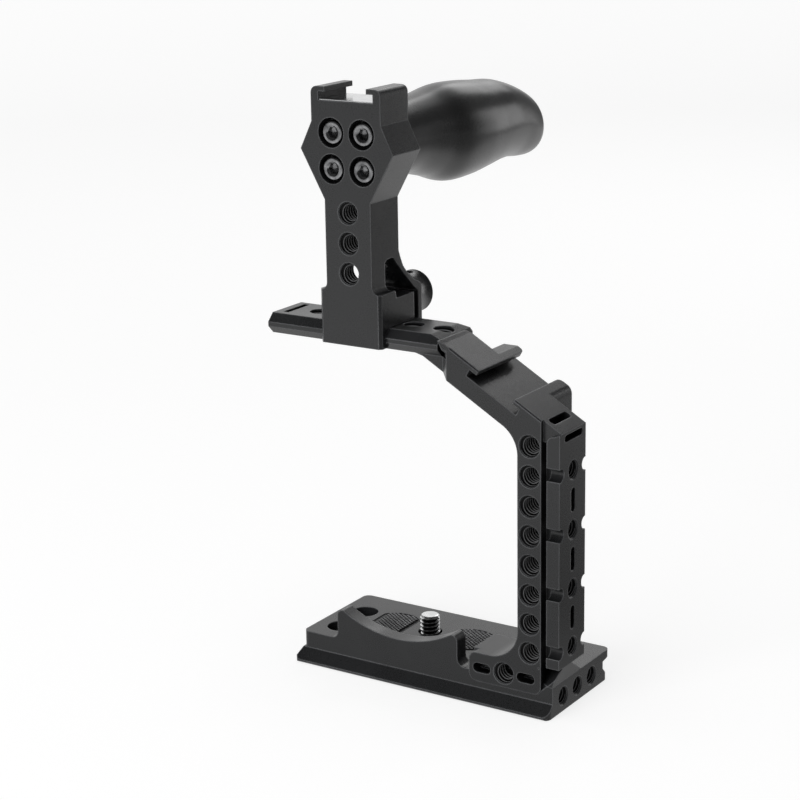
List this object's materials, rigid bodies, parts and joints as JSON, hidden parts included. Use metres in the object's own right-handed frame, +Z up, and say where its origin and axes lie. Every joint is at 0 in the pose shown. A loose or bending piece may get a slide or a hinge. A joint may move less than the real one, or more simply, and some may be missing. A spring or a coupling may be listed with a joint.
{
  "type": "camera cage",
  "caption": "Black half cage for a small camera: dovetail base plate, slotted side arm with cold shoe, and a top rail with a clamped-on grip handle.",
  "frame": {"origin": "on the camera screw's axis, at the plate's top face where the camera sits", "axes": "+X along the plate towards the side arm, +Y towards the back, +Z up along the camera screw"},
  "size_m": [0.1012, 0.1052, 0.1813],
  "materials": {
    "black_anodised": "satin black anodising over fine bead blasting",
    "black_steel": "black oxide",
    "dark_steel": "dark, satin",
    "bright_steel": "bright stainless",
    "pad_rubber": "matt, with a fine diamond texture",
    "grip_rubber": "smooth soft touch",
    "black_nylon": "matt, moulded",
    "brass": "knurled, pressed in"
  },
  "bodies": {
    "cage": {"base_plate": "black_anodised", "side_arm": "black_anodised", "arm_screws": "black_steel", "pad_left": "pad_rubber", "pad_right": "pad_rubber", "camera_screw_clip": "black_nylon"},
    "handle": {"handle_post": "black_anodised", "shoe_plate": "bright_steel", "grip_screws": "dark_steel", "grip_inserts": "brass", "grip_core": "black_nylon", "grip_shell": "grip_rubber", "jaw_guide_pins": "bright_steel"},
    "jaw": {"clamp_jaw": "black_anodised"},
    "knob": {"clamp_knob": "black_anodised", "clamp_stud": "bright_steel", "stud_clip": "dark_steel", "knob_grub_screw": "black_steel"},
    "camera_screw": {"camera_screw": "bright_steel"}
  },
  "joints": [
    {"name": "handle_slide", "type": "slide", "parent": "cage", "child": "handle", "axis": [1, 0, 0], "range_m": [-0.021, 0.015]},
    {"name": "jaw_slide", "type": "slide", "parent": "handle", "child": "jaw", "axis": [0, 1, 0], "range_m": [0, 0.0024]},
    {"name": "knob_turn", "type": "hinge", "parent": "jaw", "child": "knob", "pos_m": [-0.0128, 0.006, 0.1053], "axis": [0, -1, 0], "range_deg": [0, 1080]},
    {"name": "camera_screw_turn", "type": "hinge", "parent": "cage", "child": "camera_screw", "pos_m": [0, 0, 0], "axis": [0, 0, 1], "continuous": true}
  ],
  "couplings": [
    {"joint": "jaw_slide", "follows": "knob_turn", "m_per_rad": 0.0001273}
  ]
}
